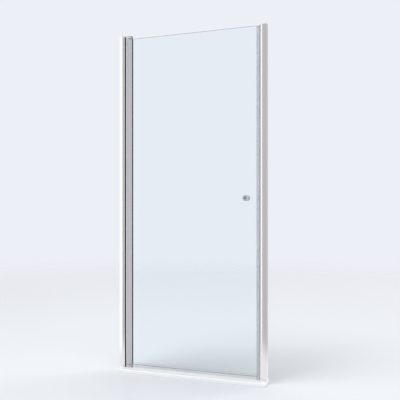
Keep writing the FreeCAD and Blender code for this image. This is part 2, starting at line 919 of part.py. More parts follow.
def make_stile_plug(end):
    height, turn = pivot_places()[end]
    body = new_body(f"{end}_stile_plug", ("pivot_place", "0", height), turn)
    plate = new_sketch(body, "XY_Plane", "-running_gap")
    draw_loop(plate, stile_outline("plate_slot"))
    pad(body, plate, "plug_plate", back=True)
    insert = new_sketch(body, "XY_Plane", "-running_gap")
    draw_loop(insert, barrel_loop("insert_radius", "insert_end"))
    pad(body, insert, "plug_length", back=True)
    bore = new_sketch(body, "XY_Plane", "-running_gap")
    draw_circle(bore, "0", "0", "bush_radius")
    pocket(body, bore, "bush_length")
    holes = new_sketch(body, "XZ_Plane")
    first = "running_gap + plug_screw_first"
    for drop in (first, f"{first} + plug_screw_spacing"):
        draw_circle(holes, "0", f"-({drop})", "plug_screw_radius")
    pocket(body, holes, "2 * stile_depth", both=True)


def make_glazing_gasket(label, side):
    """A strip between the glass and the slot, with a small lip over the stile's edge."""
    inner, outer = f"glass_thickness / 2 * {side}", f"slot_half * {side}"
    over = f"(slot_half + glazing_overlap) * {side}"
    corners = [
        ("slot_end", inner),
        ("stile_reach + glazing_lip", inner),
        ("stile_reach + glazing_lip", over),
        ("stile_reach", over),
        ("stile_reach", outer),
        ("slot_end", outer),
    ]
    place = ("pivot_place", "0", "leaf_bottom + plug_plate")
    extrusion(label, place, Rotation(), [corners], "stile_length")


# Glass and its seals


def make_glass():
    body = new_body("glass_panel", ("glass_left", "0", "leaf_bottom"))
    sketch = new_sketch(body, "XZ_Plane")
    side = "(glass_width - glass_corner)"
    top = "(leaf_height - glass_corner)"
    draw_loop(
        sketch,
        [
            ("0", "0"),
            (side, "0", side, "glass_corner", "ccw"),
            ("glass_width", "glass_corner"),
            ("glass_width", top, side, top, "ccw"),
            (side, "leaf_height"),
            ("0", "leaf_height"),
        ],
    )
    draw_circle(sketch, "glass_width - knob_backset", "knob_height - leaf_bottom", "knob_hole_radius")
    pane = pad(body, sketch, "glass_thickness", both=True)
    arris = body.newObject("PartDesign::Chamfer", "glass_panel_arris")
    arris.Base = (pane, faces_across(pane.Shape, Vector(0, 1, 0)))
    arris.setExpression("Size", linked("glass_arris"))
    document.recompute()


def make_leaf_magnet_seal():
    shoulder = "seal_nose - seal_head_depth"
    outline = [
        ("-seal_grip", "-grip_outer"),
        ("seal_web", "-grip_outer"),
        (shoulder, "-seal_half"),
        ("seal_nose", "-seal_half"),
        ("seal_nose", "seal_half"),
        (shoulder, "seal_half"),
        ("seal_web", "grip_outer"),
        ("-seal_grip", "grip_outer"),
        ("-seal_grip", "grip_inner"),
        ("seal_web_gap", "grip_inner"),
        ("seal_web_gap", "-grip_inner"),
        ("-seal_grip", "-grip_inner"),
    ]
    place = ("glass_right", "0", "seal_bottom")
    loops = [outline, leaf_magnet_corners()]
    extrusion("leaf_magnet_seal", place, Rotation(), loops, "leaf_top - seal_bottom")


def leaf_magnet_corners():
    face = "seal_nose - magnet_cover"
    return box_corners(f"{face} - magnet_thickness", face, "-magnet_width / 2", "magnet_width / 2")


def make_leaf_magnet():
    place = ("glass_right", "0", "seal_bottom")
    extrusion("leaf_magnet", place, Rotation(), [leaf_magnet_corners()], "leaf_top - seal_bottom")


def strike_magnet_corners():
    face = "carrier_face - magnet_cover"
    return box_corners(f"{face} - magnet_thickness", face, "-magnet_width / 2", "magnet_width / 2")


def make_strike_magnet_carrier():
    half_outline = [
        ("carrier_face", "seal_half"),
        ("carrier_back", "seal_half"),
        ("carrier_back", "stem_width / 2"),
        ("stem_end", "stem_width / 2"),
        ("stem_end", "barb_width / 2"),
        ("barb_end", "barb_width / 2"),
    ]
    front_half = [(across, f"-({along})") for across, along in half_outline]
    outline = front_half + list(reversed(half_outline))
    place = ("strike_wall", "0", "sill_height")
    loops = [outline, strike_magnet_corners()]
    extrusion("strike_magnet_carrier", place, HALF_TURN, loops, "channel_length")


def make_strike_magnet():
    place = ("strike_wall", "0", "sill_height")
    extrusion("strike_magnet", place, HALF_TURN, [strike_magnet_corners()], "channel_length")


def make_sweep():
    body = new_body("bottom_sweep", ("sweep_start", "0", "leaf_bottom"))
    sketch = new_sketch(body, "YZ_Plane")
    fin = "fin_width / 2"
    rail_end = "grip_outer + drip_reach"
    draw_loop(
        sketch,
        [
            ("-grip_outer", "sweep_grip"),
            ("-grip_outer", "-seal_web"),
            (f"-{fin}", "-seal_web"),
            (f"-{fin}", "-fin_drop"),
            (fin, "-fin_drop"),
            (fin, "-seal_web"),
            ("grip_outer", "-seal_web"),
            (rail_end, "-seal_web - drip_fall"),
            (rail_end, "drip_thickness - seal_web - drip_fall"),
            ("grip_outer", "drip_thickness - seal_web"),
            ("grip_outer", "sweep_grip"),
            ("grip_inner", "sweep_grip"),
            ("grip_inner", "-seal_web_gap"),
            ("-grip_inner", "-seal_web_gap"),
            ("-grip_inner", "sweep_grip"),
        ],
    )
    pad(body, sketch, "sweep_end - sweep_start")


# Knob. Its parts' own +Z points away from the glass, except the stud's, which runs through it.


def knob_seat(side):
    return ("knob_place", f"glass_thickness / 2 * {side}", "knob_height")


def make_knob(label, side, turn):
    body = new_body(label, knob_seat(side), turn)
    rim = "(knob_radius - knob_edge_radius)"
    shoulder = "(knob_face - knob_edge_radius)"
    flare = "knob_neck_radius + knob_flare"
    revolve(
        body,
        [
            ("stud_radius", "knob_washer_height"),
            ("knob_base_radius", "knob_washer_height"),
            ("knob_base_radius", "neck_start"),
            ("knob_neck_radius", "neck_start"),
            ("knob_neck_radius", "flare_start", flare, "flare_start", "cw"),
            (flare, "flare_end"),
            ("knob_radius", "flare_end"),
            ("knob_radius", shoulder, rim, shoulder, "ccw"),
            (rim, "knob_face"),
            ("dish_radius", "knob_face", "0", "dish_floor + dish_sphere", "cw"),
            ("0", "dish_floor"),
            ("0", "stud_end"),
            ("stud_radius", "stud_end"),
        ],
    )
    return body


def make_inner_knob():
    body = make_knob("inner_knob", 1, LYING_BACK)
    hole = new_sketch(body, "XZ_Plane")
    draw_circle(hole, "0", "grub_place", "grub_radius")
    pocket(body, hole, "knob_base_radius")


def make_grub_screw():
    """Headless screw that locks the inner knob on the stud, from below."""
    place = ("knob_place", "glass_thickness / 2 + grub_place", "knob_height")
    body = new_body("knob_grub_screw", place, UPSIDE_DOWN)
    end = "knob_neck_radius - grub_recess"
    revolve(
        body,
        [("0", "stud_radius"), ("grub_radius", "stud_radius"), ("grub_radius", end), ("0", end)],
    )


def make_knob_washer(label, side, turn):
    body = new_body(label, knob_seat(side), turn)
    bore = "stud_radius + screw_clearance"
    revolve(
        body,
        [
            (bore, "0"),
            ("knob_washer_radius", "0"),
            ("knob_washer_radius", "knob_washer_height"),
            (bore, "knob_washer_height"),
        ],
    )


def make_knob_sleeve():
    body = new_body("knob_sleeve", knob_seat(-1), LYING_BACK)
    bore, outer = "stud_radius + screw_clearance", "knob_hole_radius - sleeve_clearance"
    revolve(body, [(bore, "0"), (outer, "0"), (outer, "glass_thickness"), (bore, "glass_thickness")])


def make_knob_stud():
    body = new_body("knob_stud", ("knob_place", "0", "knob_height"), LYING_BACK)
    revolve(
        body,
        [
            ("0", "-stud_half"),
            ("stud_radius", "-stud_half"),
            ("stud_radius", "stud_half"),
            ("0", "stud_half"),
        ],
    )


def make_frame():
    make_sill()
    make_wall_channel("hinge_wall_channel", HINGE_SIDE)
    make_wall_channel("strike_wall_channel", STRIKE_SIDE)
    make_hinge_channel_cap()
    make_strike_channel_cap()
    make_hinge_post()
    make_strike_post()
    make_lip_gasket("hinge_front_gasket", -1)
    make_lip_gasket("hinge_rear_gasket", 1)
    make_post_screws("hinge_post_screws", HINGE_SIDE)
    make_post_screws("strike_post_screws", STRIKE_SIDE)
    make_screw_caps("hinge_screw_caps", HINGE_SIDE)
    make_screw_caps("strike_screw_caps", STRIKE_SIDE)
    make_bracket_screws("bottom_bracket_screws", "bracket_seat_low", 1)
    make_bracket_screws("top_bracket_screws", "channel_top", -1)
    make_strike_magnet_carrier()
    make_strike_magnet()
    for end in ("top", "bottom"):
        make_bracket(end)
        make_pin(end)


def make_leaf():
    for end in ("top", "bottom"):
        make_bush(end)
        make_stile_plug(end)
    make_plug_screws("bottom_plug_screws", "leaf_bottom + plug_screw_first")
    make_plug_screws("top_plug_screws", "leaf_top - plug_screw_first - plug_screw_spacing")
    make_stile()
    make_glazing_gasket("glazing_gasket_outer", -1)
    make_glazing_gasket("glazing_gasket_inner", 1)
    make_glass()
    make_leaf_magnet_seal()
    make_leaf_magnet()
    make_sweep()
    make_knob("outer_knob", -1, LYING_OUT)
    make_inner_knob()
    make_grub_screw()
    make_knob_washer("outer_knob_washer", -1, LYING_OUT)
    make_knob_washer("inner_knob_washer", 1, LYING_BACK)
    make_knob_sleeve()
    make_knob_stud()


def check_document():
    """Stops the build if any object failed or any node has no sound shape."""
    document.recompute()
    for item in document.Objects:
        if "Invalid" in item.State or "Error" in item.State:
            raise ValueError(f"{item.Label} failed: {item.State}")
    for node in nodes:
        if node.Shape.isNull() or not node.Shape.isValid() or not node.Shape.Solids:
            raise ValueError(f"{node.Label} has no sound shape")


def write_nodes():
    os.makedirs("parts", exist_ok=True)
    for node in nodes:
        node.Shape.exportStep(f"parts/{node.Label}.step")
        box = node.Shape.BoundBox
        spans = [(box.XMin, box.XMax), (box.YMin, box.YMax), (box.ZMin, box.ZMax)]
        words = "  ".join(f"{low:.2f}..{high:.2f}" for low, high in spans)
        print(f"{node.Label}: {len(node.Shape.Solids)} solids, {words}")


fill_sheets()
make_frame()
make_leaf()
check_document()
write_nodes()
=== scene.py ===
import json
import math
import bpy
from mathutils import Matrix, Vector

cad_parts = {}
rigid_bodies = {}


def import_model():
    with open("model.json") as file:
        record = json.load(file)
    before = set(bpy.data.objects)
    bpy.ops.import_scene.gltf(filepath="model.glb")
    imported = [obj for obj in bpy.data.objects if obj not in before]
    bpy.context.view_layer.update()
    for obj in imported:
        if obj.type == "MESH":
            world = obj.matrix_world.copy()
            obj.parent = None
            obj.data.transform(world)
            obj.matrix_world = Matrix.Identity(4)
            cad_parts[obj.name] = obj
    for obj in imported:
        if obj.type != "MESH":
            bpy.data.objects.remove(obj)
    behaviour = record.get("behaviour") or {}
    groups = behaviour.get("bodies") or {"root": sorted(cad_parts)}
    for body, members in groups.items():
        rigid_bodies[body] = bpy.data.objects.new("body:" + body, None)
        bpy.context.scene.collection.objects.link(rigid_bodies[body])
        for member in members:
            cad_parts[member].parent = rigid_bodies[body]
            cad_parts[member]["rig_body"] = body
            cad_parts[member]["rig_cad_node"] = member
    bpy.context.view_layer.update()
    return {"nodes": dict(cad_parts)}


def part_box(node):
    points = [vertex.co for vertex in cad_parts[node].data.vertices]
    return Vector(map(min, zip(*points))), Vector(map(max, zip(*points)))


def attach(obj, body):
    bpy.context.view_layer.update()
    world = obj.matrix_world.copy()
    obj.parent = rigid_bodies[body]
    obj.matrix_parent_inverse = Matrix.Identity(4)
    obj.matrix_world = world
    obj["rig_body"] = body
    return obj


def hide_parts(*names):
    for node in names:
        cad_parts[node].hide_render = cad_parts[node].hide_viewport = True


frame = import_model()
print("frame loaded, with", len(frame["nodes"]), "nodes")

mm = 0.001
doubled = 0.002 * mm  # corners nearer than this are one


# Colours are written as sRGB hex and turned to linear here
def hexColor(text):
    parts = [int(text[i:i + 2], 16) / 255 for i in (1, 3, 5)]
    linear = [p / 12.92 if p <= 0.04045 else ((p + 0.055) / 1.055) ** 2.4 for p in parts]
    return (*linear, 1)


# Adds one node, with its settings by attribute name and its links or values by socket name, or by number (i0)
def addNode(tree, kind, settings=None, **inputs):
    node = tree.nodes.new(kind)
    for name, setting in (settings or {}).items():
        setattr(node, name, setting)
    for name, value in inputs.items():
        byNumber = name[0] == "i" and name[1:].isdigit()
        socket = node.inputs[int(name[1:]) if byNumber else name.replace("_", " ")]
        if isinstance(value, bpy.types.NodeSocket):
            tree.links.new(value, socket)
        else:
            socket.default_value = value
    return node


def newMaterial(name):
    material = bpy.data.materials.new(name)
    material.use_nodes = True
    tree = material.node_tree
    tree.nodes.clear()
    surface = addNode(tree, "ShaderNodeBsdfPrincipled")
    output = addNode(tree, "ShaderNodeOutputMaterial", Surface=surface.outputs["BSDF"])
    return material, tree, surface, output


# Nearly all values of a noise lie between these two
noiseLow, noiseHigh = 0.3, 0.7


# One noise drives the colour, the roughness and the bump, as large as a real size in millimetres along each
# axis. What is the same all over the surface is set on the shader's own sockets
def makeFinish(name, sizeMm, detail, light, dark=None, rough=(0, 0), bumpMm=0, bumpStrength=0, **constants):
    material, tree, surface, _ = newMaterial(name)
    place = addNode(tree, "ShaderNodeTexCoord")
    scale = tuple(1000 / size for size in sizeMm)
    mapping = addNode(tree, "ShaderNodeMapping", Vector=place.outputs["Object"], Scale=scale)
    noise = addNode(tree, "ShaderNodeTexNoise", Vector=mapping.outputs["Vector"], Scale=1.0, Detail=detail)
    pattern = noise.outputs["Fac"]
    if dark:
        tint = addNode(
            tree, "ShaderNodeMix", {"data_type": "RGBA"}, i0=pattern, i6=hexColor(dark), i7=hexColor(light),
        )
        gloss = addNode(
            tree, "ShaderNodeMapRange", Value=pattern, From_Min=noiseLow, From_Max=noiseHigh, To_Min=rough[0],
            To_Max=rough[1],
        )
        tree.links.new(tint.outputs[2], surface.inputs["Base Color"])
        tree.links.new(gloss.outputs["Result"], surface.inputs["Roughness"])
    else:
        constants.update(Base_Color=hexColor(light), Roughness=rough[0])
    if bumpMm:
        bump = addNode(tree, "ShaderNodeBump", Height=pattern, Distance=bumpMm * mm, Strength=bumpStrength)
        tree.links.new(bump.outputs["Normal"], surface.inputs["Normal"])
    for socketName, value in constants.items():
        surface.inputs[socketName.replace("_", " ")].default_value = value
    return material


# Each finish by what it is and how its surface was made, and what that gives the eye
looks = dict(
    # Extruded aluminium, bright-dipped and anodised: a clear metal shine with faint die lines along the bar.
    # Real lines are about 0.1 mm apart, too fine to show, so they are drawn coarser
    bright=dict(
        name="brightAnodisedAluminium", sizeMm=(0.9, 0.9, 900), detail=3, light="#eceded", dark="#e0e1e3",
        rough=(0.12, 0.2), bumpMm=0.02, bumpStrength=0.15, Metallic=1,
    ),
    # The same alloy with satin anodising: greyer and softer, with the same lines drawn coarser
    satin=dict(
        name="satinAnodisedAluminium", sizeMm=(0.8, 0.8, 700), detail=3, light="#c6c7cd", dark="#b9bac0",
        rough=(0.32, 0.4), bumpMm=0.02, bumpStrength=0.2, Metallic=1,
    ),
    # Zinc die casting, plated and polished: bright and smooth, with a cast skin's slight waviness
    casting=dict(
        name="polishedZincCasting", sizeMm=(6, 6, 6), detail=4, light="#e8e9eb", dark="#dedfe2",
        rough=(0.12, 0.2), bumpMm=0.03, bumpStrength=0.25, Metallic=1,
    ),
    # The same casting, plated satin: greyer and softer
    satinCasting=dict(
        name="satinZincCasting", sizeMm=(6, 6, 6), detail=4, light="#cccdd2", dark="#bebfc5",
        rough=(0.26, 0.36), bumpMm=0.03, bumpStrength=0.25, Metallic=1,
    ),
    # The same casting painted nearly black and dull: painted shade for the brackets' roots in the groove
    grooveShadeCasting=dict(
        name="blackPassivatedZincCasting", sizeMm=(6, 6, 6), detail=4, light="#3c3d40", dark="#2c2d30",
        rough=(0.35, 0.5), bumpMm=0.03, bumpStrength=0.25, Metallic=1,
    ),
    # Turned brass with mirror chrome: near-perfect reflections, only hazed a little by water marks
    chrome=dict(
        name="mirrorChrome", sizeMm=(9, 9, 9), detail=6, light="#dcdde0", dark="#cecfd2", rough=(0.04, 0.11),
        Metallic=1,
    ),
    # The chrome in the dish, which isn't polished: darker and satin
    dishChrome=dict(
        name="satinDarkChrome", sizeMm=(9, 9, 9), detail=6, light="#8c8d91", dark="#7e7f83",
        rough=(0.42, 0.52), Metallic=1,
    ),
    # Cold-headed and turned stainless steel: dull silver. Real turning marks are about 0.05 mm apart, too
    # fine to show, so they are drawn coarser
    steel=dict(
        name="turnedStainlessSteel", sizeMm=(0.5, 0.5, 0.5), detail=2, light="#b9babc", dark="#a4a5a8",
        rough=(0.25, 0.38), Metallic=1,
    ),
    # Float glass, toughened: clear with a breath of blue-green, and the slight roller wave of the furnace
    glass=dict(
        name="toughenedFloatGlass", sizeMm=(1040, 1040, 260), detail=1, light="#f7fdff", bumpMm=0.05,
        bumpStrength=0.2, IOR=1.52, Transmission_Weight=1,
    ),
    # The same glass where its edge is ground and polished: deeper green, a little hazy. The grinding marks
    # are drawn coarser than the wheel's grit
    edge=dict(
        name="groundGlassEdge", sizeMm=(1.5, 1.5, 1.5), detail=3, light="#5a7379", dark="#47616a",
        rough=(0.12, 0.3), IOR=1.52, Transmission_Weight=0.6,
    ),
    # Clear plasticised PVC, extruded upright: see-through but milky, with drag lines along the strip, drawn
    # coarser than they are
    pvcUpright=dict(
        name="milkyPvcUpright", sizeMm=(0.7, 0.7, 500), detail=3, light="#f8f9fc", dark="#eef1f6",
        rough=(0.04, 0.1), bumpMm=0.03, bumpStrength=0.3, IOR=1.53, Transmission_Weight=0.8,
    ),
    # The same PVC in a clearer grade, for the strip that lies level
    pvcLevel=dict(
        name="clearPvcLevel", sizeMm=(500, 0.7, 0.7), detail=3, light="#fefeff", dark="#f8fafc",
        rough=(0.05, 0.12), bumpMm=0.03, bumpStrength=0.3, IOR=1.53, Transmission_Weight=1,
    ),
    # EPDM rubber, extruded: near black, dry and matte. Its grain is a few hundredths of a millimetre, too
    # fine to show, so it is drawn coarser
    rubber=dict(
        name="epdmRubber", sizeMm=(0.6, 0.6, 0.6), detail=4, light="#1e1f21", dark="#121315",
        rough=(0.55, 0.75), bumpMm=0.05, bumpStrength=0.4, Specular_IOR_Level=0.25,
    ),
    # Ferrite strip in an extruded pale grey jacket: light grey and dull, with its grain drawn coarser
    magnet=dict(
        name="jacketedMagnetStrip", sizeMm=(0.4, 0.4, 0.4), detail=2, light="#c4c5c9", dark="#b4b5ba",
        rough=(0.5, 0.65),
    ),
    # Moulded and extruded grey ABS: even colour and a spark-eroded texture. Its pits of about 0.1 mm are too
    # fine to show, so they are drawn coarser
    abs=dict(
        name="greyAbs", sizeMm=(0.5, 0.5, 0.5), detail=2, light="#c3c5ca", dark="#b7b9be", rough=(0.38, 0.5),
        bumpMm=0.02, bumpStrength=0.4,
    ),
    # Moulded acetal bearing plastic: off-white and waxy
    acetal=dict(
        name="acetal", sizeMm=(1, 1, 1), detail=2, light="#e6e5df", dark="#dddcd5", rough=(0.3, 0.42),
    ),
    # Cast acrylic: clean glossy white with a faint ripple in the gloss
    acrylic=dict(
        name="glossWhiteAcrylic", sizeMm=(135, 45, 45), detail=3, light="#f5f6f7", dark="#f0f1f3",
        rough=(0.06, 0.12), bumpMm=0.05, bumpStrength=0.15,
    ),
)
finishes = {key: makeFinish(**look) for key, look in looks.items()}
print("finishes made:", len(finishes))


def deselectAll():
    bpy.ops.object.select_all(action="DESELECT")


# Makes a piece the only selected one, ready for an operator
def takeUp(piece):
    deselectAll()
    bpy.context.view_layer.objects.active = piece
    piece.select_set(True)


def applyModifier(piece, kind, **settings):
    takeUp(piece)
    modifier = piece.modifiers.new("step", kind)
    for name, setting in settings.items():
        setattr(modifier, name, setting)
    bpy.ops.object.modifier_apply(modifier=modifier.name)


# Smooths the round faces and keeps the flat ones flat
def smoothFaces(piece, angle=35):
    takeUp(piece)
    bpy.ops.object.shade_smooth_by_angle(angle=math.radians(angle))
    applyModifier(piece, "WEIGHTED_NORMAL", keep_sharp=True)


# Rounds the sharp edges by a real width and smooths what is left
def softenEdges(piece, widthMm, segments=2, angle=30):
    applyModifier(
        piece, "BEVEL", width=widthMm * mm, segments=segments, limit_method="ANGLE",
        angle_limit=math.radians(angle), use_clamp_overlap=True, miter_outer="MITER_ARC",
    )
    smoothFaces(piece)


# Gives a finished piece its body and its finishes, and hides the node it stands for
def finishPiece(piece, body, nodes, slot, *finishNames):
    takeUp(piece)
    bpy.ops.object.transform_apply(location=True, rotation=True, scale=True)
    piece.data.materials.clear()
    for finishName in finishNames:
        piece.data.materials.append(finishes[finishName])
    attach(piece, body)
    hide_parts(*nodes)


def arcPoints(centre, radius, start, end, steps):
    turns = [math.radians(start + (end - start) * i / steps) for i in range(steps + 1)]
    return [(centre[0] + radius * math.cos(t), centre[1] + radius * math.sin(t)) for t in turns]


# Walks one vertex round an outline by extruding it, as by hand, and closes it
def walkOutline(name, points, closed=True):
    deselectAll()
    bpy.ops.mesh.primitive_plane_add(size=mm)
    piece = bpy.context.object
    piece.name = name
    piece.data.name = name
    bpy.ops.object.mode_set(mode="EDIT")
    bpy.ops.mesh.select_mode(type="VERT")
    bpy.ops.mesh.merge(type="CENTER")
    bpy.ops.transform.translate(value=points[0])
    path = points + points[:1] if closed else points
    for here, there in zip(path, path[1:]):
        step = Vector(there) - Vector(here)
        bpy.ops.mesh.extrude_vertices_move(TRANSFORM_OT_translate={"value": step})
    bpy.ops.mesh.select_all(action="SELECT")
    bpy.ops.mesh.remove_doubles(threshold=doubled)
    return piece


# Fills the outline and pulls it out to a bar
def pullBar(name, points, along):
    piece = walkOutline(name, points)
    bpy.ops.mesh.edge_face_add()
    bpy.ops.mesh.extrude_region_move(TRANSFORM_OT_translate={"value": along})
    bpy.ops.mesh.select_all(action="SELECT")
    bpy.ops.mesh.normals_make_consistent(inside=False)
    bpy.ops.object.mode_set(mode="OBJECT")
    return piece


# Spins an open outline about an axis through centre
def turnPiece(name, points, centre, axis, steps):
    piece = walkOutline(name, points, closed=False)
    bpy.ops.mesh.spin(steps=steps, angle=2 * math.pi, center=centre, axis=axis)
    bpy.ops.mesh.select_all(action="SELECT")
    bpy.ops.mesh.remove_doubles(threshold=2 * doubled)
    bpy.ops.mesh.normals_make_consistent(inside=False)
    bpy.ops.object.mode_set(mode="OBJECT")
    return piece


# Leaves edit mode on, with only the edges selected whose two ends pass the test
def pickEdges(piece, test):
    takeUp(piece)
    bpy.ops.object.mode_set(mode="EDIT")
    bpy.ops.mesh.select_mode(type="EDGE")
    bpy.ops.mesh.select_all(action="DESELECT")
    bpy.ops.object.mode_set(mode="OBJECT")
    for edge in piece.data.edges:
        edge.select = test(*[piece.data.vertices[end].co for end in edge.vertices])
    bpy.ops.object.mode_set(mode="EDIT")


# A copy of a node whose loose triangles are merged into whole faces, for pieces that only need softer edges
def mergedCopy(name, node):
    deselectAll()
    piece = frame["nodes"][node].copy()
    piece.data = frame["nodes"][node].data.copy()
    piece.name = piece.data.name = name
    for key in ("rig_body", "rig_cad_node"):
        del piece[key]
    piece.parent = None
    bpy.context.scene.collection.objects.link(piece)
    takeUp(piece)
    bpy.ops.object.mode_set(mode="EDIT")
    bpy.ops.mesh.select_all(action="SELECT")
    bpy.ops.mesh.remove_doubles(threshold=doubled)
    bpy.ops.mesh.dissolve_limited(angle_limit=math.radians(0.5))
    bpy.ops.object.mode_set(mode="OBJECT")
    return piece


def softCopy(name, node, body, slot, look, widthMm, segments=2):
    piece = mergedCopy(name, node)
    softenEdges(piece, widthMm, segments)
    finishPiece(piece, body, [node], slot, look)


# Places from the frame
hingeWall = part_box("hinge_wall_channel")[0].x
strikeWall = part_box("strike_wall_channel")[1].x
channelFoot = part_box("hinge_wall_channel")[0].z
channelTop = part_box("hinge_wall_channel")[1].z
pivotX = (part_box("top_pivot_pin")[0].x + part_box("top_pivot_pin")[1].x) / 2
glassLow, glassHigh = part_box("glass_panel")
stileLow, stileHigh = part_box("pivot_stile")


# Joins a second body to the piece or cuts it away, and removes it
def combine(piece, other, operation="DIFFERENCE"):
    applyModifier(piece, "BOOLEAN", operation=operation, object=other, solver="EXACT")
    bpy.data.objects.remove(other)


# How a drill, which stands upright, is turned to go along each axis
alongX, alongY, alongZ = (0, math.pi / 2, 0), (math.pi / 2, 0, 0), (0, 0, 0)


# Drills one hole per place, each with its middle there
def drillHoles(piece, places, radiusMm, depthMm, direction, steps=32):
    for place in places:
        deselectAll()
        bpy.ops.mesh.primitive_cylinder_add(
            vertices=steps, radius=radiusMm * mm, depth=depthMm * mm, location=place, rotation=direction,
        )
        combine(piece, bpy.context.object)


# The crowned wall channels, with holes for the wall screws in the web and for the post screws behind
channel = dict(
    width=33, depth=32, crown=1.5, wall=2, web=2, crownSteps=20, innerSteps=10, edge=0.5,
    wallHole=2.6, wallHoleEnd=110, wallHolePair=570, postHole=2.2, postHoleEnd=220, drillDepth=6,
)
crownRadius = ((channel["width"] / 2) ** 2 + channel["crown"] ** 2) / (2 * channel["crown"])
crownCentre = (channel["width"] / 2, crownRadius - channel["depth"] / 2)
channelInner = channel["depth"] / 2 - channel["crown"] - channel["wall"]


# The crowned front face, from the wall to the open side, seen from above
def crownedFront():
    turn = math.degrees(math.asin(channel["width"] / 2 / crownRadius))
    return arcPoints(crownCentre, crownRadius, 270 - turn, 270 + turn, channel["crownSteps"])


def mirrored(front):
    return front + [(x, -y) for x, y in reversed(front)]


def makeWallChannel(name, node, wall, way):
    halfWidth = channel["width"] / 2
    inner = math.hypot(halfWidth, crownCentre[1] + channelInner)
    lipTurn = math.degrees(math.asin(halfWidth / inner))
    webTurn = math.degrees(math.asin((halfWidth - channel["web"]) / inner))
    outline = crownedFront()
    outline += arcPoints(crownCentre, inner, 270 + lipTurn, 270 - webTurn, channel["innerSteps"])
    points = [(wall + way * x * mm, way * y * mm, channelFoot) for x, y in mirrored(outline)]
    piece = pullBar(name, points, (0, 0, channelTop - channelFoot))
    softenEdges(piece, channel["edge"], segments=3)
    middle = (channelFoot + channelTop) / 2
    ends = (channelTop - channelFoot) / 2 - channel["wallHoleEnd"] * mm
    pair = channel["wallHolePair"] / 2 * mm
    webX = wall + way * channel["web"] / 2 * mm
    webPlaces = [(webX, 0, middle + rise) for rise in (-ends, -pair, pair, ends)]
    drillHoles(piece, webPlaces, channel["wallHole"], channel["drillDepth"], alongX)
    reach = (channelTop - channelFoot) / 2 - channel["postHoleEnd"] * mm
    flangeX, flangeY = wall + way * halfWidth * mm, (channel["depth"] - channel["wall"]) / 2 * mm
    flangePlaces = [(flangeX, flangeY, middle + rise) for rise in (-reach, 0, reach)]
    drillHoles(piece, flangePlaces, channel["postHole"], channel["drillDepth"], alongY)
    smoothFaces(piece)
    finishPiece(piece, "frame", [node], "bright_aluminium", "bright")


makeWallChannel("hingeWallChannel", "hinge_wall_channel", hingeWall, 1)
makeWallChannel("strikeWallChannel", "strike_wall_channel", strikeWall, -1)
print("wall channels made")


# The caps on the channels: the same crowned outline, with a lug that hangs inside between web and post
cap = dict(
    wall=2, mouthHalf=9.2, mouthReach=4, lugStart=2.3, lugEnd=7.7, lugHalf=12.2, lugDrop=8, stepReach=38,
    stepHalf=12.3, overlap=1, edge=0.6,
)


# A box given by two corners, joined to the piece or cut from it
def addBox(piece, low, high, operation):
    deselectAll()
    centre = [(a + b) / 2 for a, b in zip(low, high)]
    bpy.ops.mesh.primitive_cube_add(size=1, location=centre, scale=[abs(b - a) for a, b in zip(low, high)])
    combine(piece, bpy.context.object, operation)


def makeChannelCap(name, node, wall, way, hasStep, isHollow):
    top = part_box(node)[1].z
    stepCorners = [(x, -cap["stepHalf"]) for x in (channel["width"], cap["stepReach"])] if hasStep else []
    outline = mirrored(crownedFront() + stepCorners)
    points = [(wall + way * x * mm, way * y * mm, channelTop) for x, y in outline]
    piece = pullBar(name, points, (0, 0, top - channelTop))
    softenEdges(piece, cap["edge"], segments=3)

    # x from the wall, y and z from the channel's top, all in millimetres
    def corner(x, y, z):
        return (wall + way * x * mm, y * mm, channelTop + z * mm)

    over = cap["overlap"]
    if isHollow:
        inside = (top - channelTop) / mm - cap["wall"]
        end = channel["width"] - cap["wall"]
        hollowEnd = corner(end, channelInner, inside)
        addBox(piece, corner(cap["wall"], -channelInner, -over), hollowEnd, "DIFFERENCE")
        mouthEnd = corner(end + cap["mouthReach"], cap["mouthHalf"], inside)
        addBox(piece, corner(end - over, -cap["mouthHalf"], -over), mouthEnd, "DIFFERENCE")
        plateEnd = corner(cap["lugEnd"], channelInner + over, cap["wall"])
        addBox(piece, corner(over, -channelInner - over, 0), plateEnd, "UNION")
    lugFoot = corner(cap["lugStart"], -cap["lugHalf"], -cap["lugDrop"])
    addBox(piece, lugFoot, corner(cap["lugEnd"], cap["lugHalf"], over), "UNION")
    smoothFaces(piece)
    finishPiece(piece, "frame", [node], "cast_bright", "casting")


makeChannelCap("hingeChannelCap", "hinge_channel_cap", hingeWall, 1, False, True)
makeChannelCap("strikeChannelCap", "strike_channel_cap", strikeWall, -1, True, False)
print("channel caps made")


# The pivot stile: a round hollow barrel about the pins, and a narrower clamp whose slot grips the glass. Its
# chamber is cut past both ends
stile = dict(
    barrel=16, clamp=8, reach=27, corner=1.5, slotHalf=4.5, slotEnd=10, barrelSteps=90, cornerSteps=5,
    edge=0.35, chamber=14.2, chamberEnd=8.2, chamberSteps=60, chamberPast=1, plugHole=2.2, plugHoleFirst=20,
    plugHoleSecond=31, drillDepth=6,
)


